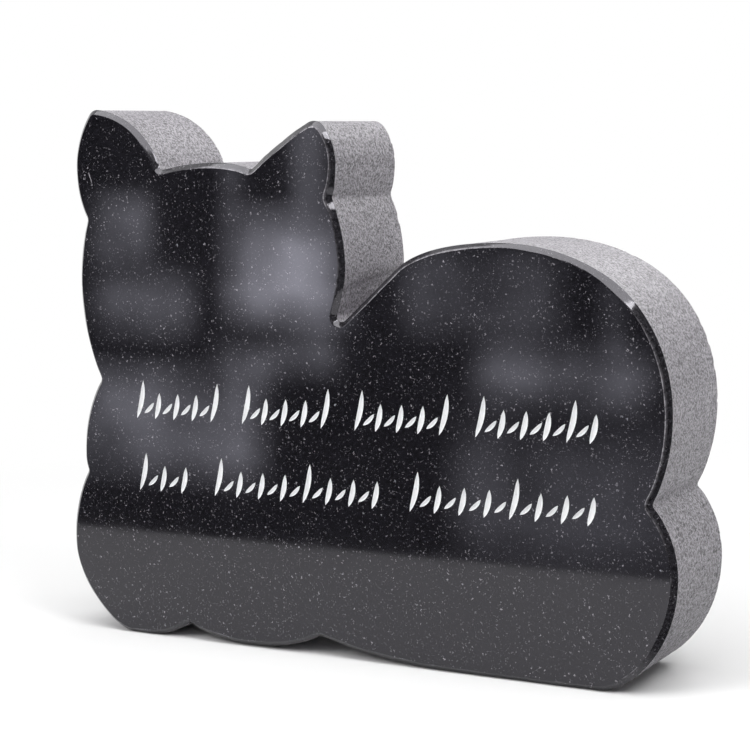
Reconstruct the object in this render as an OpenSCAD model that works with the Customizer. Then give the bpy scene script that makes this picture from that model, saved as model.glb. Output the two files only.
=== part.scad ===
// Pet headstone: one thick granite slab sawn to the outline of a cat lying down, seen from its
// side with its head turned to the front. The front face is polished inside a narrow ground
// chamfer and carries two rows of shallow carved strokes. Millimetres: X runs along the cat
// from chest to rump, Y from the front face to the back, Z up. The origin is under the middle.
//
// Places on the outline are pairs. The first number is a distance from the front of the paw,
// or from the rump where the comment says so. The second is a height above the ground, or a
// drop below the front ear's tip where the comment says so.

/* [Overall] */
// Length from the front paw to the rump
stone_w = 400; // [380:1:520]
// Height to the tip of the front ear
stone_h = 322; // [310:1:420]
// Thickness of the slab
stone_t = 72; // [40:1:120]
// Width of the ground chamfer round the front face
chamfer_w = 3; // [1:0.5:4.5]
// Radius at the bottom of a crease of the outline
crease_r = 1.2; // [1:0.1:1.5]

/* [Ears] */
// Tip of the front ear, from the front of the paw
front_ear_x = 31; // [26:1:40]
// Radius of the front ear's tip
front_ear_r = 7; // [6:0.5:9]
// Outer side of the front ear, and drop
front_ear_side = [13.5, 38]; // [5:0.5:60]
// Corner where the front ear meets the brow, and drop
front_ear_root = [77, 37]; // [30:0.5:95]
// Tip of the rear ear, and drop
rear_ear = [184.5, 11.5]; // [0:0.5:190]
// Radius of the rear ear's tip
rear_ear_r = 9; // [6:0.5:10]
// Outer side of the rear ear, and drop
rear_ear_side = [198.5, 35]; // [25:0.5:210]
// Corner where the rear ear meets the brow, and drop
rear_ear_root = [141.5, 38]; // [30:0.5:150]
// Highest point of the brow between the ears, and drop
brow = [115, 33.5]; // [25:0.5:130]

/* [Head] */
// Crease below the front ear, and drop
front_ear_crease = [20.5, 66]; // [10:0.5:80]
// Crease below the rear ear, and drop
rear_ear_crease = [195, 55]; // [40:0.5:205]
// Fullest point of the front cheek, and height
front_cheek = [13.5, 213]; // [5:0.5:225]
// Fullest point of the rear cheek, and height
rear_cheek = [203, 228]; // [190:0.5:240]
// Crease between cheek and chest, and height
cheek_crease = [26, 157.5]; // [15:0.5:170]
// Centre of the round bottom of the neck crease, and height
neck = [199.5, 199.5]; // [190:0.5:210]
// Radius of that round bottom
neck_r = 3; // [2:0.5:4]

/* [Back and rump] */
// A point on the slope of the back above the neck, and height
shoulder = [237, 227.5]; // [215:0.5:250]
// Highest point of the back, from the rump, and height
back_top = [103, 241.5]; // [80:0.5:260]
// Roundest part of the haunch, from the rump, and height
haunch_turn = [29.5, 217.5]; // [20:0.5:230]
// Rearmost point of the haunch, from the rump, and height
haunch = [2, 152.5]; // [0:0.5:165]
// Crease between haunch and hind leg, from the rump, and height
rump_crease = [14, 103.5]; // [5:0.5:115]
// Height of the rearmost point of the hind leg
rump_z = 66; // [50:0.5:80]
// Turn of the hind leg towards the ground, from the rump, and height
rump_turn = [17, 17.5]; // [10:0.5:30]

/* [Chest, paws and belly] */
// Fullest point of the chest, and height
chest = [11, 109.5]; // [5:0.5:125]
// Crease between chest and paw, and height
chest_crease = [12.8, 100]; // [8:0.2:105]
// Height of the paw's foremost point
paw_z = 53; // [40:0.5:65]
// Turn of the paw towards the ground, and height
paw_turn = [15, 18]; // [10:0.5:25]
// Middle of the first paw's flat foot
first_foot_x = 49.5; // [45:0.5:55]
// Middle of the second paw's flat foot, and the small height by which it clears the ground
second_foot = [131, 1.5]; // [0:0.5:140]
// Length of each flat foot
foot_w = 10; // [6:1:14]
// Crease between the two paws, and height
toe_crease = [84.5, 9.5]; // [5:0.5:95]
// Crease between the second paw and the belly, and height
belly_crease = [179, 11.5]; // [5:0.5:190]
// Start of the belly's flat underside
belly_front_x = 270; // [230:1:290]
// End of the belly's flat underside, from the rump
belly_rear_x = 46; // [40:1:75]

/* [Inscription] */
// Strokes in each group of the upper row
upper_row = [5, 5, 5, 6]; // [0:1:8]
// Strokes in each group of the lower row
lower_row = [3, 8, 8]; // [0:1:9]
// Start of both rows, from the front of the paw
rows_x = 54; // [45:1:70]
// Length of each row
rows_w = 312; // [200:1:320]
// Height of the upper row's foot line
upper_row_z = 135; // [125:1:145]
// Drop from there to the lower row's foot line
row_pitch = 44.5; // [30:0.5:50]
// Extra room between two groups
group_gap = 9; // [4:0.5:14]
// Length of a plain stroke
stroke_l = 16.5; // [10:0.5:20]
// Length of a long stroke
long_stroke_l = 24; // [18:0.5:28]
// Width of plain and long strokes at their middle
stroke_w = 3.4; // [1:0.1:4]
// Length of the light stroke between two others
light_stroke_l = 10; // [4:0.5:11]
// Width of the light stroke at its middle
light_stroke_w = 2.5; // [0.8:0.1:3]
// Depth of all strokes
stroke_depth = 1.2; // [0.5:0.1:3]

/* [Hidden] */

// The outline runs anticlockwise seen from the front: its headings, in degrees
REARWARD = 0;
UP = 90;
FORWARD = 180;
DOWN = 270;
SHOULDER_HEADING = 219;
HAUNCH_HEADING = 139;
PAW_HEADING = 310;
RUMP_HEADING = 50;
// Headings where the ears' sides run into their round tips
FRONT_EAR_SIDES = [172, 232];
REAR_EAR_SIDES = [127, 206];
// Headings where back and cheek run into the round bottom of the neck crease
NECK_SIDES = [222, 71];

// Largest turn between two straight steps of the outline, and the shortest such step
TURN_STEP = 4;
SHORTEST_STEP = 0.8;
// How far a cutting solid stands clear of the stone
CLEAR = 0.6;

// Every LONG_EVERY-th stroke of a group is a long one, from the first
LONG_EVERY = 4;
// Lean of the plain and of the light strokes, from upright
STROKE_LEAN = 14;
LIGHT_LEAN = 48;
// How far a stroke bows out, as a share of its length
STROKE_BOW = 0.05;
// How bluntly a stroke ends: 1 gives a slim leaf, less gives a fuller one
STROKE_BLUNTNESS = 0.6;
// Steps along one side of a stroke
STROKE_STEPS = 7;
// Foot of a light stroke, as shares of the stroke pitch across and of stroke_l up
LIGHT_FOOT = [0.42, 0.2];

STONE_COLOUR = [0.16, 0.16, 0.17];

function along(angle) = [cos(angle), sin(angle)];
function heading(v) = atan2(v[1], v[0]);
function cross_of(a, b) = a[0] * b[1] - a[1] * b[0];
// Turn from one heading to another, from -180 to 180
function turn(from, to) = (to - from + 900) % 360 - 180;
function sum_before(list, end) = end == 0 ? 0 : list[end - 1] + sum_before(list, end - 1);

function from_rump(place) = [stone_w - place[0], place[1]];
function from_ear(place) = [place[0], stone_h - place[1]];

// A station of the outline is a crest, with its heading, or a crease, with none
function crest(place, heading) = [place, heading];
function crease(place) = [place, undef];
function is_crease(station) = is_undef(station[1]);
// A crest on a round tip of radius r that has its top at peak
function tip(peak, r, heading) =
    crest(peak + r * (along(heading - 90) - along(UP)), heading);
// A crest on a round hollow of radius r about centre
function hollow(centre, r, heading) = crest(centre + r * along(heading + 90), heading);

STATIONS = [
    crest([first_foot_x - foot_w / 2, 0], REARWARD),
    crest([first_foot_x + foot_w / 2, 0], REARWARD),
    crease(toe_crease),
    crest(second_foot - [foot_w / 2, 0], REARWARD),
    crest(second_foot + [foot_w / 2, 0], REARWARD),
    crease(belly_crease),
    crest([belly_front_x, 0], REARWARD),
    crest(from_rump([belly_rear_x, 0]), REARWARD),
    crest(from_rump(rump_turn), RUMP_HEADING),
    crest(from_rump([0, rump_z]), UP),
    crease(from_rump(rump_crease)),
    crest(from_rump(haunch), UP),
    crest(from_rump(haunch_turn), HAUNCH_HEADING),
    crest(from_rump(back_top), FORWARD),
    crest(shoulder, SHOULDER_HEADING),
    hollow(neck, neck_r, NECK_SIDES[0]),
    hollow(neck, neck_r, (NECK_SIDES[0] + NECK_SIDES[1]) / 2),
    hollow(neck, neck_r, NECK_SIDES[1]),
    crest(rear_cheek, UP),
    crease(from_ear(rear_ear_crease)),
    crest(from_ear(rear_ear_side), UP),
    tip(from_ear(rear_ear), rear_ear_r, REAR_EAR_SIDES[0]),
    tip(from_ear(rear_ear), rear_ear_r, FORWARD),
    tip(from_ear(rear_ear), rear_ear_r, REAR_EAR_SIDES[1]),
    crease(from_ear(rear_ear_root)),
    crest(from_ear(brow), FORWARD),
    crease(from_ear(front_ear_root)),
    tip([front_ear_x, stone_h], front_ear_r, FRONT_EAR_SIDES[0]),
    tip([front_ear_x, stone_h], front_ear_r, FORWARD),
    tip([front_ear_x, stone_h], front_ear_r, FRONT_EAR_SIDES[1]),
    crest(from_ear(front_ear_side), DOWN),
    crease(from_ear(front_ear_crease)),
    crest(front_cheek, DOWN),
    crease(cheek_crease),
    crest(chest, DOWN),
    crease(chest_crease),
    crest([0, paw_z], DOWN),
    crest(paw_turn, PAW_HEADING),
];

// A crease becomes two crests, at the ends of its small fillet. The stretch on either side is
// close to a circular arc, so its heading at the crease mirrors the one at its other end.
function fillet_ends(before, place, after) =
    let (arriving = 2 * heading(place - before[0]) - before[1],
         leaving = 2 * heading(after[0] - place) - after[1],
         reach = crease_r * tan(abs(turn(arriving, leaving)) / 2))
    [crest(place - reach * along(arriving), arriving),
     crest(place + reach * along(leaving), leaving)];

function all_crests(stations) =
    let (count = len(stations))
    [for (i = [0 : count - 1])
        each is_crease(stations[i])
            ? fillet_ends(stations[i - 1], stations[i][0], stations[(i + 1) % count])
            : [stations[i]]];

function bezier(p, c, d, q, t) =
    pow(1 - t, 3) * p + 3 * pow(1 - t, 2) * t * c + 3 * (1 - t) * t * t * d + pow(t, 3) * q;

// The outline from one crest up to the next: a round arc, or a share of an ellipse where the
// crests are not the same distance from the corner at which their headings meet
function stretch(from, to) =
    let (p = from[0], q = to[0],
         bend = abs(turn(from[1], to[1])),
         straight = bend < 0.01,
         corner = straight ? p : p + along(from[1])
            * cross_of(q - p, along(to[1])) / cross_of(along(from[1]), along(to[1])),
         roundness = straight ? 0 : 4 / 3 * tan(bend / 4) / tan(bend / 2),
         steps = max(1, min(ceil(bend / TURN_STEP), floor(norm(q - p) / SHORTEST_STEP))))
    [for (i = [0 : steps - 1])
        bezier(p, p + (corner - p) * roundness, q + (corner - q) * roundness, q, i / steps)];

function outline(crests) =
    let (count = len(crests))
    [for (i = [0 : count - 1]) each stretch(crests[i], crests[(i + 1) % count])];

// The same outline with every side moved inwards by a distance
function inset(points, distance) =
    let (count = len(points))
    [for (i = [0 : count - 1])
        let (a = along(heading(points[i] - points[(i + count - 1) % count]) + 90),
             b = along(heading(points[(i + 1) % count] - points[i]) + 90))
        points[i] + distance * (a + b) / (1 + a * b)];

OUTLINE = outline(all_crests(STATIONS));

module slab() {
    linear_extrude(height = stone_t, center = true)
        polygon(OUTLINE);
}

// Ring of triangular section that takes the chamfer off the front edge
module chamfer_cutter() {
    count = len(OUTLINE);
    top = stone_t / 2 + CLEAR;
    low = stone_t / 2 - chamfer_w - CLEAR;
    inner = inset(OUTLINE, chamfer_w + CLEAR);
    outer = inset(OUTLINE, -CLEAR);
    points = concat(
        [for (p = inner) [p[0], p[1], top]],
        [for (p = outer) [p[0], p[1], top]],
        [for (p = outer) [p[0], p[1], low]]);
    sides = [
        for (i = [0 : count - 1], ring = [0 : 2])
            let (next = (i + 1) % count,
                 here = ring * count,
                 there = (ring + 1) % 3 * count)
            [here + i, here + next, there + next, there + i]];
    polyhedron(points, sides);
}

// A stroke swells from its foot to its middle, and bows a little
function stroke_side(l, w) = [
    for (i = [0 : STROKE_STEPS])
        let (t = i / STROKE_STEPS, bow = sin(180 * t))
        [STROKE_BOW * l * bow + w / 2 * pow(bow, STROKE_BLUNTNESS), l * t]];
function stroke_outline(l, w) =
    let (one = stroke_side(l, w), other = stroke_side(l, -w))
    concat(one, [for (i = [STROKE_STEPS - 1 : -1 : 1]) other[i]]);

module stroke(foot, lean, l, w) {
    translate([foot[0], foot[1], stone_t / 2 - stroke_depth])
        rotate([0, 0, -lean])
            linear_extrude(height = stroke_depth + CLEAR)
                polygon(stroke_outline(l, w));
}

module stroke_row(groups, foot_z) {
    total = sum_before(groups, len(groups));
    pitch = (rows_w - (len(groups) - 1) * group_gap) / total;
    for (g = [0 : len(groups) - 1], i = [0 : groups[g] - 1]) {
        x = rows_x + g * group_gap + (sum_before(groups, g) + i) * pitch;
        stroke([x, foot_z], STROKE_LEAN, i % LONG_EVERY == 0 ? long_stroke_l : stroke_l, stroke_w);
        if (i < groups[g] - 1)
            stroke([x + LIGHT_FOOT[0] * pitch, foot_z + LIGHT_FOOT[1] * stroke_l], LIGHT_LEAN,
                light_stroke_l, light_stroke_w);
    }
}

module stone() {
    color(STONE_COLOUR)
        rotate([90, 0, 0])
            translate([-stone_w / 2, 0, 0])
                difference() {
                    slab();
                    chamfer_cutter();
                    stroke_row(upper_row, upper_row_z);
                    stroke_row(lower_row, upper_row_z - row_pitch);
                }
}

stone();
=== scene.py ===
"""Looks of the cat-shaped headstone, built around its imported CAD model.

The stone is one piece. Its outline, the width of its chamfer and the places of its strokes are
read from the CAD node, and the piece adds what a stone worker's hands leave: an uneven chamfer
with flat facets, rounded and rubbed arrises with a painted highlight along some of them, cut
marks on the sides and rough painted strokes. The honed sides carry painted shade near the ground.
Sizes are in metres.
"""

import math

import bpy
import numpy as np
from mathutils import Matrix, Vector, geometry, noise


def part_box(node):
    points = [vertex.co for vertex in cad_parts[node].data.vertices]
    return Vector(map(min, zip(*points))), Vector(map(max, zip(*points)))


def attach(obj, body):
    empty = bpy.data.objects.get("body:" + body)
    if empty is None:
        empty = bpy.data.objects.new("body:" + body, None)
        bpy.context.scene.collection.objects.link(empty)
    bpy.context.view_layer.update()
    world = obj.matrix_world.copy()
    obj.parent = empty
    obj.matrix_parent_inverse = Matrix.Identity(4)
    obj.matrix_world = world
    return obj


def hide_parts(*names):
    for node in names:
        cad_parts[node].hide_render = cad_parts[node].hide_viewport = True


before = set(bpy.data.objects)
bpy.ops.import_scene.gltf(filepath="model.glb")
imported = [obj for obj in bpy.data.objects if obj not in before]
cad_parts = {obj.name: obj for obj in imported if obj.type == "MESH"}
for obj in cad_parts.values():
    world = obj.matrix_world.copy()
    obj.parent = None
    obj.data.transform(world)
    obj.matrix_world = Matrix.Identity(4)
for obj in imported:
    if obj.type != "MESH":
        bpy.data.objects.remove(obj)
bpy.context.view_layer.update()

MM = 0.001
MICRONS = 1e6
NO_LENGTH = 1e-9
LOW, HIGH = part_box("stone")
FRONT, BACK = LOW.y, HIGH.y
LENGTH, HEIGHT = HIGH.x - LOW.x, HIGH.z - LOW.z


# ------------------------------------------------------------------ the CAD node's own outlines

def loops_at(mesh, y):
    """The closed loops round the node's flat faces at one depth, as arrays of (x, z). Corners
    that are the same to a whole micrometre count as one."""
    points = {}
    uses = {}
    for polygon in mesh.polygons:
        corners = [mesh.vertices[v].co for v in polygon.vertices]
        if any(abs(c.y - y) * MICRONS > 1 for c in corners):
            continue
        keys = [(round(c.x * MICRONS), round(c.z * MICRONS)) for c in corners]
        for key, c in zip(keys, corners):
            points.setdefault(key, (c.x, c.z))
        for a, b in zip(keys, keys[1:] + keys[:1]):
            if a != b:
                if uses.get((b, a)):
                    uses[(b, a)] -= 1
                else:
                    uses[(a, b)] = uses.get((a, b), 0) + 1
    following = {a: b for (a, b), n in uses.items() if n > 0}
    loops = []
    while following:
        start, here = following.popitem()
        loop = [start]
        while here != start:
            loop.append(here)
            here = following.pop(here)
        loops.append(np.array([points[k] for k in loop]))
    return loops


def area_of(loop):
    """The area inside a loop: above 0 where it runs anticlockwise."""
    x, z = loop[:, 0], loop[:, 1]
    return 0.5 * float(np.sum(x * np.roll(z, -1) - np.roll(x, -1) * z))


def anticlockwise(loop):
    return loop if area_of(loop) > 0 else loop[::-1]


def spline(points, longest, closed):
    """A smooth curve through all the points, a centripetal Catmull-Rom spline, cut into steps
    no longer than longest."""
    n = len(points)
    out = []
    for i in range(n if closed else n - 1):
        p1, p2 = points[i], points[(i + 1) % n]
        p0 = points[i - 1] if closed or i > 0 else 2 * p1 - p2
        p3 = points[(i + 2) % n] if closed or i + 2 < n else 2 * p2 - p1
        steps = max(1, math.ceil(np.linalg.norm(p2 - p1) / longest))
        knots = np.cumsum([0] + [math.sqrt(max(np.linalg.norm(b - a), NO_LENGTH))
                                 for a, b in ((p0, p1), (p1, p2), (p2, p3))])
        for k in range(steps):
            t = knots[1] + (knots[2] - knots[1]) * k / steps

            def between(a, b, ta, tb):
                return a + (b - a) * (t - ta) / (tb - ta)
            a1 = between(p0, p1, knots[0], knots[1])
            a2 = between(p1, p2, knots[1], knots[2])
            a3 = between(p2, p3, knots[2], knots[3])
            b1 = between(a1, a2, knots[0], knots[2])
            b2 = between(a2, a3, knots[1], knots[3])
            out.append(between(b1, b2, knots[1], knots[2]))
    if not closed:
        out.append(points[-1])
    return np.array(out)


def run_along(line):
    """The way gone at each point of an open line."""
    return np.concatenate([[0], np.cumsum(np.linalg.norm(np.diff(line, axis=0), axis=1))])


def row_and_place(loop):
    """The height of a stroke's tip, and its left edge: lower strokes come first, and strokes
    of one height from left to right."""
    return round(loop[:, 1].max(), 4), loop[:, 0].min()


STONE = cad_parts["stone"]
FRONT_LOOPS = sorted(map(anticlockwise, loops_at(STONE.data, FRONT)), key=area_of)
FACE_LOOP = FRONT_LOOPS[-1]
STROKE_LOOPS = sorted(FRONT_LOOPS[:-1], key=row_and_place)
BACK_LOOP = max(map(anticlockwise, loops_at(STONE.data, BACK)), key=area_of)
CHAMFER = FACE_LOOP[:, 0].min() - BACK_LOOP[:, 0].min()

OUTLINE_STEP = 1.5 * MM
OUTLINE = spline(BACK_LOOP, OUTLINE_STEP, True)
OUTLINE[:, 0] = OUTLINE[:, 0].clip(LOW.x, HIGH.x)
OUTLINE[:, 1] = OUTLINE[:, 1].clip(LOW.z, HIGH.z)
COUNT = len(OUTLINE)
STEP = np.roll(OUTLINE, -1, 0) - np.roll(OUTLINE, 1, 0)
STEP /= np.linalg.norm(STEP, axis=1)[:, None]
INWARD = np.stack([-STEP[:, 1], STEP[:, 0]], 1)
ALONG = run_along(OUTLINE)


def at_share(x_share, z_share):
    """The place at these shares of the length and of the height, as (x, z)."""
    return LOW.x + x_share * LENGTH, LOW.z + z_share * HEIGHT


def distance_to(x, z):
    """How far each point of the outline is from a place."""
    return np.hypot(OUTLINE[:, 0] - x, OUTLINE[:, 1] - z)


# ------------------------------------------------------------------------ what the hand adds

# How fast the finer octaves of the noise fade, and how much finer each one is
FRACTAL_SMOOTHNESS = 0.7
LACUNARITY = 2.0


def wander(size, seed, octaves=2):
    """Smooth noise along the outline, about -1 to 1, with features of a given size."""
    return np.array([
        noise.fractal(Vector((x / size, z / size, seed)), FRACTAL_SMOOTHNESS, LACUNARITY, octaves)
        for x, z in OUTLINE])


# The chamfer swells slowly along the outline and is ground in flats: size along the outline and
# change of the width, for the swell, for the flats, and for the unevenness of its two edges
SWELL_SIZE, SWELL = 70 * MM, 0.22 * MM
FLAT_SIZE, FLAT = 17 * MM, 0.2 * MM
FACE_EDGE_SIZE, SIDE_EDGE_SIZE, EDGE = 12 * MM, 14 * MM, 0.16 * MM
NARROWEST = 1.2 * MM
# Shortest and longest flat, as shares of the size, before the chain is fitted to the outline
FLAT_RANGE = (0.6, 1.5)

# Where the chamfer was ground wider or narrower: share of the length and of the height, reach,
# and change of its width
GROUND = [
    (0.925, 0.675, 14 * MM, 0.9 * MM),
    (0.400, 0.935, 14 * MM, 1.1 * MM),
    (0.985, 0.110, 45 * MM, 0.4 * MM),
    (0.460, 0.955, 6 * MM, 0.8 * MM),
    (0.485, 0.830, 8 * MM, 0.9 * MM),
    (0.700, 0.745, 40 * MM, -0.3 * MM),
    (0.030, 0.300, 50 * MM, -0.3 * MM),
]


def facets(seed, size, depth):
    """A chain of flats round the outline: the value runs straight from one joint to the next."""
    draw = np.random.default_rng(seed)
    total = ALONG[-1] + np.linalg.norm(OUTLINE[0] - OUTLINE[-1])
    gaps = draw.uniform(*FLAT_RANGE, int(total / size))
    joints = np.concatenate([[0], np.cumsum(gaps) / gaps.sum()]) * total
    heights = draw.uniform(-depth, depth, len(joints) - 1)
    return np.interp(ALONG, joints, np.append(heights, heights[0]))


def chamfer_widths():
    """The chamfer's width along the outline, measured on the face and on the side."""
    width = CHAMFER + SWELL * wander(SWELL_SIZE, seed=3.1) + facets(11, FLAT_SIZE, FLAT)
    for x_share, z_share, reach, change in GROUND:
        away = distance_to(*at_share(x_share, z_share))
        width += change * np.exp(-(away / reach) ** 2)
    on_face = width + facets(12, FACE_EDGE_SIZE, EDGE)
    on_side = width + facets(13, SIDE_EDGE_SIZE, EDGE)
    return on_face.clip(NARROWEST), on_side.clip(NARROWEST)


# The part of the noise that makes nicks: where they start, and the rise to their full depth
NICK_FROM, NICK_RISE = 0.35, 0.4


def nicks(size, seed, most):
    """Small chips out of an arris: mostly none, here and there up to most."""
    rough = wander(size, seed, 3)
    return most * ((rough - NICK_FROM) / NICK_RISE).clip(0, 1)


def worn_arris(middle, swing, least, size, seed):
    """How far an arris is rounded off along the outline. The first three are in millimetres."""
    return (middle + swing * wander(size, seed)).clip(least) * MM


ON_FACE, ON_SIDE = chamfer_widths()
INNER_ARRIS = worn_arris(0.36, 0.12, 0.2, 9 * MM, seed=5.3)
OUTER_ARRIS = (worn_arris(0.22, 0.08, 0.1, 7 * MM, seed=6.7)
               + nicks(5 * MM, seed=8.1, most=0.5 * MM))
BACK_ARRIS = (worn_arris(0.55, 0.15, 0.25, 8 * MM, seed=7.9)
              + nicks(6 * MM, seed=9.4, most=1.3 * MM))

# The stretch of the length in which the neck crease lies, as shares
NECK_FROM, NECK_TO = 0.45, 0.6


def neck_crease():
    """The deepest point of the notch between the head and the back."""
    x, z = OUTLINE[:, 0], OUTLINE[:, 1]
    span = ((x > LOW.x + NECK_FROM * LENGTH) & (x < LOW.x + NECK_TO * LENGTH)
            & (z > LOW.z + HEIGHT / 2))
    return OUTLINE[span][np.argmin(z[span])]


NECK = neck_crease()
# The scoop that a second cut left in the neck crease: reach, depth, and swing of its edge
SCOOP, SCOOP_DEPTH, SCOOP_SWING = 23 * MM, 1.3 * MM, 0.16
# Small steps beside it: distance of their middle from the crease, spread, way along the outline
# for one radian of them, half height, how sharp they are, and how far the waves shift them
STAIRS_AT, STAIRS_SPREAD = 16 * MM, 14 * MM
STAIR_RADIAN, STAIR, STAIR_SHARPNESS, STAIR_SHIFT = 0.75 * MM, 0.13 * MM, 3, 1.5
# Waves of the saw: half height, and number per metre round the outline and through the stone.
# The grit has the same number both ways
WAVE, WAVE_ROUND, WAVE_THROUGH = 0.055 * MM, 70, 9
FINE, FINE_ROUND, FINE_THROUGH = 0.05 * MM, 420, 14
GRIT, GRIT_ROUND = 0.03 * MM, 900


def cut_marks(s, y):
    """How far the side lies under the outline: waves and steps that the saw left, long across
    the stone and short round it, and the scoop in the neck crease."""
    x, z = OUTLINE[s]
    from_neck = math.hypot(x - NECK[0], z - NECK[1])
    edge = SCOOP * (1 + SCOOP_SWING * math.sin(y / SCOOP))
    scoop = 0.5 - 0.5 * math.tanh((from_neck - edge) / MM)
    wave = noise.noise(Vector((x * WAVE_ROUND, z * WAVE_ROUND, y * WAVE_THROUGH + 2.0)))
    fine = noise.noise(Vector((x * FINE_ROUND, z * FINE_ROUND, y * FINE_THROUGH + 7.0)))
    grit = noise.noise(Vector((x * GRIT_ROUND, z * GRIT_ROUND, y * GRIT_ROUND)))
    near = math.exp(-((from_neck - STAIRS_AT) / STAIRS_SPREAD) ** 2)
    stair = math.tanh(STAIR_SHARPNESS * math.sin(ALONG[s] / STAIR_RADIAN + STAIR_SHIFT * wave))
    return (WAVE * (wave + 1) + FINE * (fine + 1) + GRIT * (grit + 1)
            + STAIR * near * (stair + 1) + SCOOP_DEPTH * scoop)


# The section's rows: round each arris, on the flat of the chamfer, and on the side
ARRIS_ROWS = 4
CHAMFER_ROWS = (0.33, 0.67)
WALL_ROWS = 38
POLISHED_ROWS = 2 * ARRIS_ROWS + len(CHAMFER_ROWS) - 1
# Share of the cut marks that the last row of the chamfer's outer arris takes
ARRIS_CUT = 0.4


def bend(a, corner, b):
    """Points (inset, depth) round a worn corner from a to b, ends included."""
    ts = np.linspace(0, 1, ARRIS_ROWS)
    return [(1 - t) ** 2 * a + 2 * t * (1 - t) * corner + t * t * b for t in ts]


def rows_of(s):
    """The stone's section at one point of the outline, from the face to the back, as pairs of
    inset and depth."""
    face = np.array([ON_FACE[s], FRONT])
    side = np.array([0.0, FRONT + ON_SIDE[s]])
    slope = (side - face) / np.linalg.norm(side - face)
    inner = bend(face + [INNER_ARRIS[s], 0], face, face + slope * INNER_ARRIS[s])
    outer = bend(side - slope * OUTER_ARRIS[s], side, side + [0, OUTER_ARRIS[s]])
    middle = [inner[-1] + (outer[0] - inner[-1]) * t for t in CHAMFER_ROWS]
    rows = inner + middle + outer
    last = BACK - BACK_ARRIS[s]
    wall = np.linspace(side[1] + OUTER_ARRIS[s], last, WALL_ROWS + 1)[1:]
    rows += [np.array([0.0, y]) for y in wall]
    rows += bend(rows[-1], np.array([0.0, BACK]), np.array([BACK_ARRIS[s], BACK]))[1:]
    return rows


POLISHED, HONED, PAINT = 0, 1, 2
WORN_AND_LIT = "worn_and_lit"
# How much each row of the section, from the face over the chamfer, loses its polish and carries a
# painted highlight: where the arris is rubbed dull and painted as lit, and everywhere else, since
# the chamfer is ground less finely than the face
GROUND_WEAR = 0.03
WORN_AND_LIT_ROWS = ([(0.0, 0.0), (1.0, 0.0), (1.0, 0.02), (0.3, GROUND_WEAR)]
             + [(0.0, GROUND_WEAR)] * (len(CHAMFER_ROWS) + ARRIS_ROWS))

# Where the inner arris has lost its polish and carries a painted highlight, pale as light
# catching it: share of the length and of the height, reach
BRUISED_AND_LIT = [
    (0.60, 0.68, 35 * MM),
    (0.67, 0.73, 30 * MM),
    (0.985, 0.45, 55 * MM),
    (0.33, 0.895, 30 * MM),
    (0.62, 0.76, 40 * MM),
    (0.445, 0.93, 22 * MM),
    (0.487, 0.865, 21 * MM),
]
# Wear at a nick elsewhere, and how patchy the lost polish and the painted highlight are: its
# middle and its swing
NICK_WEAR = 0.35
WEAR_AND_HIGHLIGHT_MIDDLE, WEAR_AND_HIGHLIGHT_SWING = 0.75, 0.35


def arris_wear_and_highlight():
    """How much the inner arris has lost its polish and carries a painted highlight, from 0 to 1,
    along the outline.
    """
    worn_and_lit = nicks(12 * MM, seed=4.4, most=NICK_WEAR)
    for x_share, z_share, reach in BRUISED_AND_LIT:
        away = distance_to(*at_share(x_share, z_share))
        worn_and_lit = np.maximum(worn_and_lit, np.exp(-(away / reach) ** 4))
    return worn_and_lit * (WEAR_AND_HIGHLIGHT_MIDDLE + WEAR_AND_HIGHLIGHT_SWING * wander(6 * MM, seed=2.2)).clip(0, 1)


WEAR_AND_HIGHLIGHT = arris_wear_and_highlight()


class Shell:
    """Vertices and faces of the piece as they are made."""

    def __init__(self):
        self.points = []
        self.faces = []
        self.finish = []
        self.smooth = []
        self.worn_and_lit = []

    def add(self, points, worn_and_lit=()):
        first = len(self.points)
        self.points += [tuple(p) for p in points]
        self.worn_and_lit += list(worn_and_lit) + [0.0] * (len(points) - len(worn_and_lit))
        return list(range(first, len(self.points)))

    def face(self, corners, finish, smooth):
        if len(set(corners)) > 2:
            self.faces.append(tuple(dict.fromkeys(corners)))
            self.finish.append(finish)
            self.smooth.append(smooth)


def make_sides(shell):
    """The chamfer and the side, as a grid. Returns its front and back edges."""
    grid = []
    for s in range(COUNT):
        rows = rows_of(s)
        points = []
        for r, (inset, y) in enumerate(rows):
            if POLISHED_ROWS < r < len(rows) - ARRIS_ROWS:
                inset = inset + cut_marks(s, y)
            elif POLISHED_ROWS == r:
                inset = inset + ARRIS_CUT * cut_marks(s, y)
            x, z = OUTLINE[s] + INWARD[s] * inset
            points.append((x, y, z))
        # Painted highlight: this mask holds pale light catching the inner arris as well as its
        # lost polish
        grid.append(shell.add(points, [max(WEAR_AND_HIGHLIGHT[s] * bruised_and_lit, ground)
                                       for bruised_and_lit, ground in WORN_AND_LIT_ROWS]))
    for s in range(COUNT):
        here, there = grid[s], grid[(s + 1) % COUNT]
        for r in range(len(here) - 1):
            finish = POLISHED if r < POLISHED_ROWS else HONED
            shell.face((here[r], here[r + 1], there[r + 1], there[r]), finish, True)
    return [g[0] for g in grid], [g[-1] for g in grid]


# A stroke's greatest depth, and its depth at a narrow place, as a share of half its width
STROKE_DEPTH, STROKE_STEEPNESS = 1.15 * MM, 1.1
# Its section: places across it, and the share of its depth there
TROUGH = ((0, 0), (0.1, 0.72), (0.3, 0.94), (0.5, 1), (0.7, 0.94), (0.9, 0.72), (1, 0))
# Length of a station along it, fewest stations, and the step by which its rim is read
STATION, FEWEST_STATIONS, RIM_STEP = 1.1 * MM, 10, 0.2 * MM
# How far it slips aside and how rough its floor is, each with its waves per metre
SLIP, SLIP_WAVES = 0.05 * MM, 700
FLOOR_ROUGHNESS, FLOOR_WAVES = 0.14, 900


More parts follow.
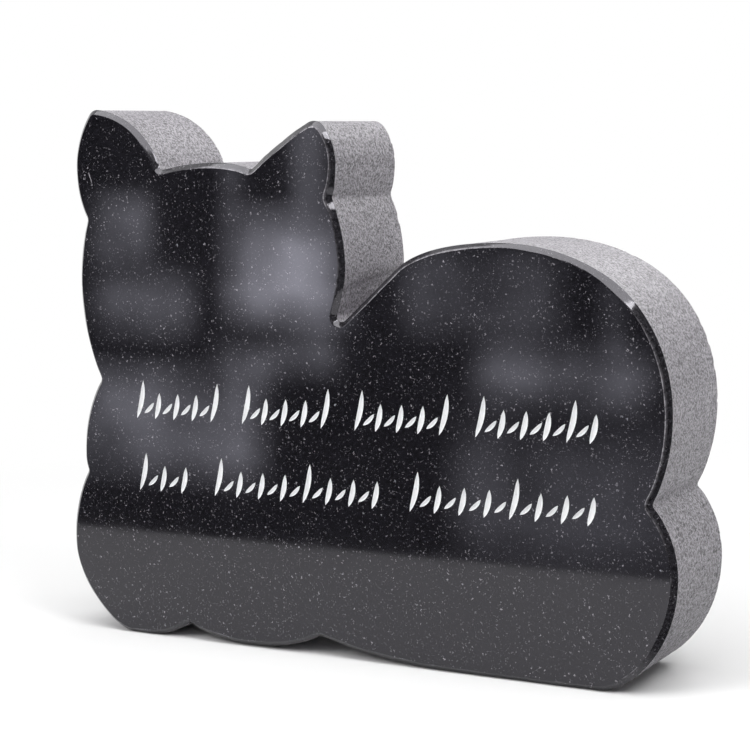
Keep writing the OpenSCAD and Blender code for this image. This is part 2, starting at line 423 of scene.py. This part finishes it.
def sides_of(loop):
    """A stroke's left and right side, each from foot to tip and with as many stations."""
    away = [(np.linalg.norm(a - b), i, j) for i, a in enumerate(loop) for j, b in enumerate(loop)]
    _, foot, tip = max(away)
    if loop[foot][1] > loop[tip][1]:
        foot, tip = tip, foot
    n = len(loop)
    right = [loop[(foot + k) % n] for k in range((tip - foot) % n + 1)]
    left = [loop[(foot - k) % n] for k in range((foot - tip) % n + 1)]
    length = np.linalg.norm(loop[tip] - loop[foot])
    stations = max(FEWEST_STATIONS, round(length / STATION))
    sides = []
    for side in (np.array(left), np.array(right)):
        fine = spline(side, RIM_STEP, False)
        run = run_along(fine)
        at = np.linspace(0, run[-1], stations + 1)
        sides.append(np.stack([np.interp(at, run, fine[:, i]) for i in (0, 1)], 1))
    return sides


def across_stroke(a, b, seed):
    """The points of a stroke's trough, with its rough floor, from a on its left to b."""
    half = np.linalg.norm(b - a) / 2
    unit = (b - a) / (2 * half)
    slip = SLIP * noise.noise(Vector((a[0] * SLIP_WAVES, a[1] * SLIP_WAVES, seed)))
    a, b = a + unit * slip, b + unit * slip
    deep = min(STROKE_DEPTH, STROKE_STEEPNESS * half)
    points = []
    for across, fall in TROUGH:
        x, z = a + (b - a) * across
        rough = noise.noise(Vector((x * FLOOR_WAVES, z * FLOOR_WAVES, seed)))
        points.append((x, FRONT + deep * fall * (1 + FLOOR_ROUGHNESS * rough), z))
    return points


def make_stroke(shell, loop, seed):
    """One carved stroke, a trough between two pointed ends. Returns its rim."""
    left, right = sides_of(loop)
    ends = (0, len(left) - 1)
    rows = []
    for k, (a, b) in enumerate(zip(left, right)):
        if k in ends:
            rows.append(shell.add([(a[0], FRONT, a[1])]) * len(TROUGH))
        else:
            rows.append(shell.add(across_stroke(a, b, seed)))
    for below, above in zip(rows, rows[1:]):
        for c in range(len(TROUGH) - 1):
            shell.face((below[c], below[c + 1], above[c + 1], above[c]), PAINT, True)
    return [r[-1] for r in rows] + [r[0] for r in rows[-2:0:-1]]


def holds(loop, x, z):
    """True if the loop of points goes round (x, z)."""
    inside = False
    for (ax, az), (bx, bz) in zip(loop, loop[1:] + loop[:1]):
        if (az > z) != (bz > z) and x < ax + (bx - ax) * (z - az) / (bz - az):
            inside = not inside
    return inside


# What delaunay_2d_cdt gives back: triangles over everything inside the outermost edges
INSIDE_HULL = 1


def fill(shell, rims, finish, towards_front):
    """A flat face between the first rim and the other rims."""
    ids = [v for rim in rims for v in rim]
    owner = [r for r, rim in enumerate(rims) for v in rim]
    flat = [Vector((shell.points[v][0], shell.points[v][2])) for v in ids]
    edges, start = [], 0
    for rim in rims:
        edges += [(start + i, start + (i + 1) % len(rim)) for i in range(len(rim))]
        start += len(rim)
    shapes = [[(shell.points[v][0], shell.points[v][2]) for v in rim] for rim in rims]
    verts, _, faces, origin, _, _ = geometry.delaunay_2d_cdt(flat, edges, [], INSIDE_HULL,
                                                             NO_LENGTH)
    if len(verts) != len(ids) or any(len(o) != 1 for o in origin):
        print("fill: the rims of a flat face cross", len(verts), len(ids))
    for corners in faces:
        rim = {owner[origin[c][0]] for c in corners}
        middle = sum((verts[c] for c in corners), Vector((0, 0))) / len(corners)
        if len(rim) == 1 and rim != {0} and holds(shapes[rim.pop()], *middle):
            continue
        corners = [ids[origin[c][0]] for c in corners]
        a, b, c = (shell.points[v] for v in corners[:3])
        turn = (b[0] - a[0]) * (c[2] - a[2]) - (c[0] - a[0]) * (b[2] - a[2])
        if (turn > 0) != towards_front:
            corners.reverse()
        shell.face(corners, finish, False)


def make_stone():
    shell = Shell()
    front_edge, back_edge = make_sides(shell)
    rims = [make_stroke(shell, loop, 1.0 + i) for i, loop in enumerate(STROKE_LOOPS)]
    fill(shell, [front_edge] + rims, POLISHED, True)
    fill(shell, [back_edge], HONED, False)
    mesh = bpy.data.meshes.new("headstone")
    points = np.array(shell.points)
    points = points.clip(np.array(LOW), np.array(HIGH))
    mesh.from_pydata(points.tolist(), [], shell.faces)
    mesh.polygons.foreach_set("material_index", shell.finish)
    mesh.polygons.foreach_set("use_smooth", shell.smooth)
    mesh.attributes.new(WORN_AND_LIT, "FLOAT", "POINT").data.foreach_set("value", shell.worn_and_lit)
    mesh.update()
    piece = bpy.data.objects.new("headstone", mesh)
    bpy.context.scene.collection.objects.link(piece)
    return piece


# -------------------------------------------------------------------------------- materials

# Share of a mineral grain's radius at which it is at its full strength
CRUMB_CORE = 0.6
# A scratch: half its width, outside and at full strength, its bow, the waves of the bow per
# metre, and the length of its soft ends
SCRATCH_EDGE, SCRATCH_CORE = 0.42 * MM, 0.12 * MM
SCRATCH_BOW, SCRATCH_WAVES, SCRATCH_END = 1.2 * MM, 160, 1.5 * MM


class Tree:
    """A material's nodes, added and linked in one call."""

    def __init__(self, material):
        self.tree = material.node_tree
        self.tree.nodes.clear()

    def set(self, socket, value):
        if isinstance(value, bpy.types.NodeSocket):
            self.tree.links.new(value, socket)
        else:
            socket.default_value = value

    def add(self, kind, inputs=None, **settings):
        node = self.tree.nodes.new(kind)
        for key, value in settings.items():
            setattr(node, key, value)
        for key, value in (inputs or {}).items():
            self.set(node.inputs[key], value)
        return node

    def maths(self, operation, a, b=0.0, c=0.0, clamp=False):
        return self.add("ShaderNodeMath", {0: a, 1: b, 2: c}, operation=operation,
                        use_clamp=clamp).outputs[0]

    def times(self, a, b, clamp=False):
        return self.maths("MULTIPLY", a, b, clamp=clamp)

    def ramp(self, value, low, high):
        """0 below low, 1 above high."""
        return self.add("ShaderNodeMapRange", {"Value": value, "From Min": low,
                                               "From Max": high}).outputs["Result"]

    def window(self, value, low, high, edge):
        """1 between low and high, 0 outside, with edges that are soft by edge each way."""
        return self.times(self.ramp(value, low - edge, low + edge),
                          self.ramp(value, high + edge, high - edge))

    def mix(self, share, a, b):
        node = self.add("ShaderNodeMix", data_type="RGBA")
        for key, value in (("Factor", share), ("A", a), ("B", b)):
            for socket in node.inputs:
                if socket.name == key and socket.enabled:
                    self.set(socket, value)
        return next(o for o in node.outputs if o.enabled)

    def noise(self, where, scale, detail=2.0, roughness=0.5):
        return self.add("ShaderNodeTexNoise", {"Vector": where, "Scale": scale,
                                               "Detail": detail, "Roughness": roughness})

    def cloud(self, where, scale, detail=2.0, roughness=0.5):
        """Grey noise."""
        return self.noise(where, scale, detail, roughness).outputs["Fac"]

    def stretched(self, where, scale):
        return self.add("ShaderNodeMapping", {"Vector": where, "Scale": scale}).outputs[0]

    def warped(self, where, scale, by):
        """Coordinates pushed about by noise, for crumbs that are not round."""
        push = self.noise(where, scale).outputs["Color"]
        centred = self.add("ShaderNodeVectorMath", {0: push, 1: (0.5, 0.5, 0.5)},
                           operation="SUBTRACT").outputs[0]
        scaled = self.add("ShaderNodeVectorMath", {0: centred, "Scale": by},
                          operation="SCALE").outputs[0]
        return self.add("ShaderNodeVectorMath", {0: where, 1: scaled}).outputs[0]

    def crumbs(self, where, per_metre, radius, share):
        """Mask of separate mineral grains, and a random value for each."""
        cells = self.add("ShaderNodeTexVoronoi", {"Vector": where, "Scale": per_metre},
                         distance="MANHATTAN")
        chance = self.add("ShaderNodeSeparateColor",
                          {"Color": cells.outputs["Color"]}).outputs
        inside = self.ramp(cells.outputs["Distance"], radius, radius * CRUMB_CORE)
        kept = self.maths("LESS_THAN", chance[0], share)
        return self.times(inside, kept), chance[1]

    def looked_at(self):
        """1 for what the camera sees, straight or by way of a gloss or through glass."""
        rays = self.add("ShaderNodeLightPath").outputs
        seen = self.maths("MAXIMUM", rays["Is Camera Ray"], rays["Is Glossy Ray"])
        return self.maths("MAXIMUM", seen, rays["Is Transmission Ray"])

    def scratch(self, where, start, end):
        """Mask of a fine scratch in the face, between two places given as shares of the
        length and of the height."""
        (x0, z0), (x1, z1) = at_share(*start), at_share(*end)
        place = self.add("ShaderNodeSeparateXYZ", {0: where}).outputs
        run = self.add("ShaderNodeMapRange", {"Value": place["Z"], "From Min": z0,
                                              "From Max": z1, "To Min": x0, "To Max": x1})
        bow = self.cloud(where, SCRATCH_WAVES, detail=1.0)
        line = self.maths("MULTIPLY_ADD", bow, SCRATCH_BOW, run.outputs["Result"])
        aside = self.maths("ABSOLUTE", self.maths("SUBTRACT", place["X"], line))
        on_line = self.ramp(aside, SCRATCH_EDGE, SCRATCH_CORE)
        over = self.ramp(self.maths("SUBTRACT", z0, place["Z"]), 0, SCRATCH_END)
        under = self.ramp(self.maths("SUBTRACT", place["Z"], z1), 0, SCRATCH_END)
        return self.times(on_line, self.times(over, under))


def new_material(name):
    material = bpy.data.materials.new(name)
    material.use_nodes = True
    return material, Tree(material)


def grey(value, red=1.0, blue=1.0):
    """A grey, with its red and blue as shares of its green."""
    return (value * red, value, value * blue, 1.0)


def dark_stone(value):
    return grey(value, red=1.06, blue=1.28)


def pale_stone(value):
    return grey(value, red=1.045, blue=1.085)


def paint_white(value):
    return grey(value, red=0.995, blue=1.015)


def finish_material(tree, colour, roughness, height, strength, distance, **sockets):
    bump = tree.add("ShaderNodeBump", {"Height": height, "Strength": strength,
                                       "Distance": distance})
    shader = tree.add("ShaderNodeBsdfPrincipled",
                      {"Base Color": colour, "Roughness": roughness,
                       "Normal": bump.outputs[0]})
    for key, value in sockets.items():
        shader.inputs[key.replace("_", " ")].default_value = value
    tree.add("ShaderNodeOutputMaterial", {"Surface": shader.outputs[0]})


# In the three materials a scale is in features per metre, and a tone is a brightness of 0 to 1


def polished_granite():
    """Near black, with pale flecks of 0.5 to 2 mm that lie in loose clusters. An attribute of the
    mesh says where an arris has lost its polish and where a pale painted highlight stands for
    light catching it."""
    material, tree = new_material("polished_granite")
    place = tree.add("ShaderNodeTexCoord").outputs["Object"]
    worn_and_lit = tree.add("ShaderNodeAttribute", attribute_name=WORN_AND_LIT).outputs["Fac"]
    warped = tree.warped(place, scale=900, by=3.0 * MM)

    dust = tree.ramp(tree.cloud(place, 1300, detail=3.0, roughness=0.7), 0.56, 0.74)
    grain = tree.cloud(place, 480, detail=4.0, roughness=0.7)
    colour = tree.mix(tree.ramp(grain, 0.3, 0.72), dark_stone(0.0025), dark_stone(0.011))
    colour = tree.mix(tree.times(dust, 0.5), colour, dark_stone(0.045))

    cluster = tree.ramp(tree.cloud(place, 75, detail=3.0), 0.36, 0.60)
    density = tree.maths("MULTIPLY_ADD", cluster, 0.7, 0.6)
    small, small_tone = tree.crumbs(warped, per_metre=700, radius=0.38, share=0.60)
    tone = tree.mix(small_tone, dark_stone(0.03), pale_stone(0.17))
    colour = tree.mix(tree.times(small, density), colour, tone)
    large, large_tone = tree.crumbs(warped, per_metre=340, radius=0.27, share=0.45)
    tone = tree.mix(large_tone, dark_stone(0.05), pale_stone(0.31))
    colour = tree.mix(tree.times(large, density), colour, tone)

    scratch = tree.scratch(place, start=(0.0605, 0.885), end=(0.0665, 0.862))
    colour = tree.mix(tree.times(scratch, 0.8), colour, pale_stone(0.34))
    # Painted highlight: the pale colour along the inner arris is partly lost polish and partly
    # light catching the arris
    bruise_and_highlight = tree.times(worn_and_lit, tree.ramp(grain, 0.32, 0.55), clamp=True)
    colour = tree.mix(bruise_and_highlight, colour, pale_stone(0.38))

    dull = tree.ramp(tree.cloud(place, 28, detail=3.0), 0.3, 0.75)
    roughness = tree.maths("MULTIPLY_ADD", dull, 0.035, 0.055)
    roughness = tree.maths("ADD", roughness, tree.times(large, 0.06))
    roughness = tree.maths("ADD", roughness, tree.times(bruise_and_highlight, 0.4))
    pits = tree.maths("ADD", tree.times(large, -0.4), grain)
    finish_material(tree, colour, roughness, pits, strength=0.05, distance=0.05 * MM,
                    IOR=1.6, Specular_Tint=(0.95, 0.93, 1.0, 1.0))
    return material


# Painted shade: the honed stone is darker near the ground, where shade falls by the floor:
# heights at which this starts and is complete
GROUND_SHADE_FROM, GROUND_SHADE_FULL = LOW.z + 150 * MM, LOW.z + 30 * MM
# Scale of its noise along, through and up the stone: less than 1 draws a mark out
LENGTHWISE, THROUGH, SPECK = (0.03, 1, 1), (1, 0.05, 1), (1, 0.6, 0.9)


def honed_granite():
    """The same stone, sawn and honed: it shows light grey with a fine dark speckle and the
    marks of the saw, which run through the stone on its sides and along it on its back."""
    material, tree = new_material("honed_granite")
    coordinates = tree.add("ShaderNodeTexCoord").outputs
    place = coordinates["Object"]
    warped = tree.warped(place, scale=900, by=1.4 * MM)
    up = tree.add("ShaderNodeSeparateXYZ", {0: place}).outputs["Z"]
    rearward = tree.add("ShaderNodeSeparateXYZ", {0: coordinates["Normal"]}).outputs["Y"]

    grain = tree.cloud(place, 720, detail=4.0, roughness=0.8)
    colour = tree.mix(tree.ramp(grain, 0.42, 0.58), pale_stone(0.09), pale_stone(0.43))
    pale, pale_tone = tree.crumbs(warped, per_metre=420, radius=0.28, share=0.25)
    colour = tree.mix(tree.times(pale, pale_tone), colour, pale_stone(0.60))

    lines = tree.cloud(tree.stretched(place, LENGTHWISE), 170, detail=4.0, roughness=0.65)
    lines = tree.times(tree.ramp(lines, 0.42, 0.70), tree.ramp(rearward, 0.8, 0.95))
    colour = tree.mix(tree.times(lines, 0.34), colour, pale_stone(0.10))
    # Painted shade: darker towards the ground
    ground_shade = tree.ramp(up, GROUND_SHADE_FROM, GROUND_SHADE_FULL)
    colour = tree.mix(tree.times(ground_shade, 0.08), colour, pale_stone(0.02))
    patches = tree.ramp(tree.cloud(place, 22, detail=3.0, roughness=0.6), 0.25, 0.8)
    colour = tree.mix(tree.times(patches, 0.24), colour, pale_stone(0.14))
    marks = tree.cloud(tree.stretched(place, THROUGH), 260, detail=4.0, roughness=0.6)
    colour = tree.mix(tree.times(tree.ramp(marks, 0.42, 0.7), 0.15), colour, pale_stone(0.09))

    dark, dark_tone = tree.crumbs(warped, per_metre=520, radius=0.42, share=0.5)
    share = tree.times(dark, tree.maths("MULTIPLY_ADD", dark_tone, 0.85, 0.5))
    colour = tree.mix(share, colour, pale_stone(0.03))
    specks = tree.cloud(tree.stretched(place, SPECK), 460, detail=3.0, roughness=0.7)
    # Painted shade: more dark specks near the ground
    specks = tree.ramp(tree.maths("MULTIPLY_ADD", ground_shade, 0.055, specks), 0.58, 0.68)
    colour = tree.mix(tree.times(specks, 0.8), colour, pale_stone(0.03))

    roughness = tree.maths("MULTIPLY_ADD", grain, 0.18, 0.5)
    height = tree.maths("ADD", tree.times(marks, 1.2), grain)
    height = tree.maths("ADD", height, tree.times(lines, -1.2))
    height = tree.maths("ADD", height, tree.times(dark, -0.5))
    finish_material(tree, colour, roughness, height, strength=0.42, distance=0.2 * MM, IOR=1.5)
    return material


def white_paint():
    """Brushed into the strokes: white, a little thin where the rough floor comes through."""
    material, tree = new_material("white_paint")
    place = tree.add("ShaderNodeTexCoord").outputs["Object"]
    grain = tree.cloud(place, 900, detail=3.0, roughness=0.6)
    thin = tree.ramp(tree.cloud(place, 260, detail=3.0, roughness=0.6), 0.35, 0.7)
    colour = tree.mix(thin, paint_white(0.87), paint_white(0.78))
    colour = tree.mix(tree.times(tree.ramp(grain, 0.64, 0.76), 0.5), colour,
                      grey(0.42, blue=1.02))
    roughness = tree.maths("MULTIPLY_ADD", grain, 0.25, 0.42)
    finish_material(tree, colour, roughness, grain, strength=0.5, distance=0.1 * MM, IOR=1.48)
    return material


# ----------------------------------------------------------------------------------- studio

# The camera's place, its turn, tilt and roll in degrees, and its lens in millimetres
CAMERA_AT = (0.5405, -0.9352, 0.2900)
CAMERA_YAW, CAMERA_PITCH, CAMERA_ROLL = -29.96, 6.74, -1.57
CAMERA_LENS = 89.1


def make_camera():
    camera = bpy.data.objects.new("camera", bpy.data.cameras.new("camera"))
    bpy.context.scene.collection.objects.link(camera)
    camera.data.lens = CAMERA_LENS
    camera.data.clip_start = 10 * MM
    yaw, pitch, roll = (math.radians(a) for a in (CAMERA_YAW, CAMERA_PITCH, CAMERA_ROLL))
    ahead = Vector((math.sin(yaw) * math.cos(pitch), math.cos(yaw) * math.cos(pitch),
                    -math.sin(pitch)))
    level = Vector((math.cos(yaw), -math.sin(yaw), 0))
    above = level.cross(ahead)
    right = math.cos(roll) * level + math.sin(roll) * above
    up = math.cos(roll) * above - math.sin(roll) * level
    turned = Matrix((right, up, -ahead)).transposed().to_4x4()
    camera.matrix_world = Matrix.Translation(CAMERA_AT) @ turned
    bpy.context.scene.camera = camera


# Name, place, width, height and power of each lamp, and the point that they all face
LAMPS = [
    ("overhead", (0.1, -0.4, 1.6), 2.4, 1.2, 27),
    ("front_left", (-0.9, -1.5, 1.3), 1.0, 0.8, 15),
    ("front_right", (1.16, -0.60, 1.42), 0.6, 0.4, 7),
    ("rear", (0.3, 1.7, 1.3), 1.2, 0.9, 13),
]
LIT_POINT = Vector((0, 0, 0.15))


def make_lights():
    for name, place, width, height, power in LAMPS:
        light = bpy.data.lights.new(name, "AREA")
        light.shape = "RECTANGLE"
        light.size, light.size_y = width, height
        light.energy = power
        lamp = bpy.data.objects.new(name, light)
        lamp.location = place
        lamp.rotation_euler = (LIT_POINT - Vector(place)).to_track_quat("-Z", "Y").to_euler()
        bpy.context.scene.collection.objects.link(lamp)


# The strength at which a background is white, and the strength of the world as a light
WHITE = 1.0
FILL_LIGHT = 0.27


def make_world():
    world = bpy.data.worlds.new("studio")
    bpy.context.scene.world = world
    world.use_nodes = True
    tree = Tree(world)
    seen = tree.looked_at()
    fill_light = tree.add("ShaderNodeBackground", {"Color": grey(1.0), "Strength": FILL_LIGHT})
    backdrop = tree.add("ShaderNodeBackground", {"Color": grey(1.0), "Strength": WHITE})
    mixed = tree.add("ShaderNodeMixShader", {0: seen, 1: fill_light.outputs[0],
                                             2: backdrop.outputs[0]})
    tree.add("ShaderNodeOutputWorld", {"Surface": mixed.outputs[0]})


def sheet_mesh(name, corners, material):
    mesh = bpy.data.meshes.new(name)
    mesh.from_pydata(corners, [], [tuple(range(len(corners)))])
    mesh.materials.append(material)
    sheet = bpy.data.objects.new(name, mesh)
    bpy.context.scene.collection.objects.link(sheet)
    return sheet


# The floor's tone, its reach each way, and the distances over which it fades to white
FLOOR_TONE, FLOOR_REACH = 0.84, 6.0
FADE_FROM, FADE_TO = 0.24, 0.8


def make_floor():
    """A pale floor that keeps the stone's shadow and fades into the white backdrop."""
    material, tree = new_material("floor")
    place = tree.add("ShaderNodeTexCoord").outputs["Object"]
    away = tree.add("ShaderNodeVectorMath", {0: place}, operation="LENGTH").outputs["Value"]
    share = tree.times(tree.ramp(away, FADE_FROM, FADE_TO), tree.looked_at())
    lit = tree.add("ShaderNodeBsdfDiffuse", {"Color": grey(FLOOR_TONE)})
    white = tree.add("ShaderNodeEmission", {"Color": grey(1.0), "Strength": WHITE})
    mixed = tree.add("ShaderNodeMixShader", {0: share, 1: lit.outputs[0], 2: white.outputs[0]})
    tree.add("ShaderNodeOutputMaterial", {"Surface": mixed.outputs[0]})
    sheet_mesh("floor", [(-FLOOR_REACH, -FLOOR_REACH, 0), (FLOOR_REACH, -FLOOR_REACH, 0),
                         (FLOOR_REACH, FLOOR_REACH, 0), (-FLOOR_REACH, FLOOR_REACH, 0)], material)


# The flag: its distance from the face, height, half width, colour and darkest brightness
FLAG_AWAY, FLAG_TOP, FLAG_SIDE = 0.26, 0.62, 3.0
FLAG_COLOUR = (0.91, 0.92, 1.0, 1.0)
FLAG_DARK = 0.06
# How uneven the flag is: patches per metre, least share of its brightness, and what they add
FLAG_PATCHES, FLAG_LEAST, FLAG_SWING = 14.0, 0.4, 0.75
# Its soft pale areas: from and to across, from and to up, soft edge, brightness
FLAG_PANELS = [
    (-0.250, -0.155, 0.175, 0.245, 0.018, 5.0),
    (-0.380, -0.325, 0.215, 0.262, 0.012, 1.8),
    (-0.192, -0.165, 0.255, 0.330, 0.008, 1.4),
    (-0.256, -0.240, 0.245, 0.285, 0.008, 1.8),
    (-0.380, -0.290, 0.160, 0.200, 0.015, 1.3),
    (-0.215, -0.160, 0.132, 0.160, 0.012, 1.6),
    (-0.100, 0.020, 0.165, 0.218, 0.012, 1.2),
    (-0.045, 0.080, 0.118, 0.152, 0.014, 2.0),
    (0.052, 0.066, 0.150, 0.200, 0.008, 1.4),
    (-0.270, -0.215, 0.120, 0.150, 0.012, 1.5),
    (-0.460, -0.230, 0.050, 0.125, 0.018, 1.9),
    (-0.060, 0.140, 0.010, 0.095, 0.020, 0.9),
]
# The wing's place, to the right of the stone's middle, and the brightness of wing and card
WING_X = 0.46
WING_DARK = 0.02
# The dark card on the floor beside the rump: its near corner, soft edge and height
CARD_X = LOW.x + 0.945 * LENGTH
CARD_Y = FRONT - 0.11
CARD_EDGE = 0.03
CARD_LIFT = 0.5 * MM


def glossy_only(sheet):
    sheet.visible_camera = False
    sheet.visible_diffuse = False
    sheet.visible_shadow = False
    sheet.visible_transmission = False
    sheet.visible_volume_scatter = False


def flag_material():
    material, tree = new_material("flag")
    place = tree.add("ShaderNodeTexCoord").outputs["Object"]
    across, _, height = tree.add("ShaderNodeSeparateXYZ", {0: place}).outputs
    soft = tree.ramp(tree.cloud(place, FLAG_PATCHES), 0.34, 0.68)
    panels = FLAG_DARK
    for x0, x1, z0, z1, edge, bright in FLAG_PANELS:
        inside = tree.times(tree.window(across, x0, x1, edge),
                            tree.window(height, z0, z1, edge))
        panels = tree.maths("ADD", tree.times(inside, bright), panels)
    uneven = tree.maths("MULTIPLY_ADD", soft, FLAG_SWING, FLAG_LEAST)
    strength = tree.times(panels, uneven)
    shown = tree.add("ShaderNodeEmission", {"Color": FLAG_COLOUR, "Strength": strength})
    tree.add("ShaderNodeOutputMaterial", {"Surface": shown.outputs[0]})
    return material


def wing_material():
    """Dark, and on the card soft at the two edges that the stone could mirror."""
    material, tree = new_material("wing")
    place = tree.add("ShaderNodeTexCoord").outputs["Object"]
    across, depth, height = tree.add("ShaderNodeSeparateXYZ", {0: place}).outputs
    solid = tree.times(tree.ramp(across, CARD_X, CARD_X + CARD_EDGE),
                       tree.ramp(depth, CARD_Y, CARD_Y + CARD_EDGE))
    solid = tree.maths("MAXIMUM", solid, tree.ramp(height, CARD_LIFT, 2 * CARD_LIFT))
    clear = tree.add("ShaderNodeBsdfTransparent")
    dark = tree.add("ShaderNodeEmission", {"Color": grey(WING_DARK), "Strength": 1.0})
    shown = tree.add("ShaderNodeMixShader", {0: solid, 1: clear.outputs[0], 2: dark.outputs[0]})
    tree.add("ShaderNodeOutputMaterial", {"Surface": shown.outputs[0]})
    return material


def make_flag():
    """A dark screen that only polished surfaces see, as a photographer of black stone hangs
    one. It stands on the floor in front of the face, with soft pale areas. A dark wing
    stands off the rump, and a dark card lies under it."""
    y = FRONT - FLAG_AWAY
    glossy_only(sheet_mesh("flag", [(-FLAG_SIDE, y, 0), (FLAG_SIDE, y, 0),
                                    (FLAG_SIDE, y, FLAG_TOP), (-FLAG_SIDE, y, FLAG_TOP)],
                           flag_material()))
    dark = wing_material()
    glossy_only(sheet_mesh("wing", [(WING_X, y, 0), (WING_X, 0, 0), (WING_X, 0, FLAG_TOP),
                                    (WING_X, y, FLAG_TOP)], dark))
    glossy_only(sheet_mesh("card", [(CARD_X, CARD_Y, CARD_LIFT), (WING_X, CARD_Y, CARD_LIFT),
                                    (WING_X, BACK, CARD_LIFT), (CARD_X, BACK, CARD_LIFT)],
                           dark))


make_camera()
bpy.context.scene.view_settings.view_transform = "Standard"
stone = make_stone()
for made in (polished_granite(), honed_granite(), white_paint()):
    stone.data.materials.append(made)
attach(stone, "root")
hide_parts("stone")
make_world()
make_lights()
make_floor()
make_flag()
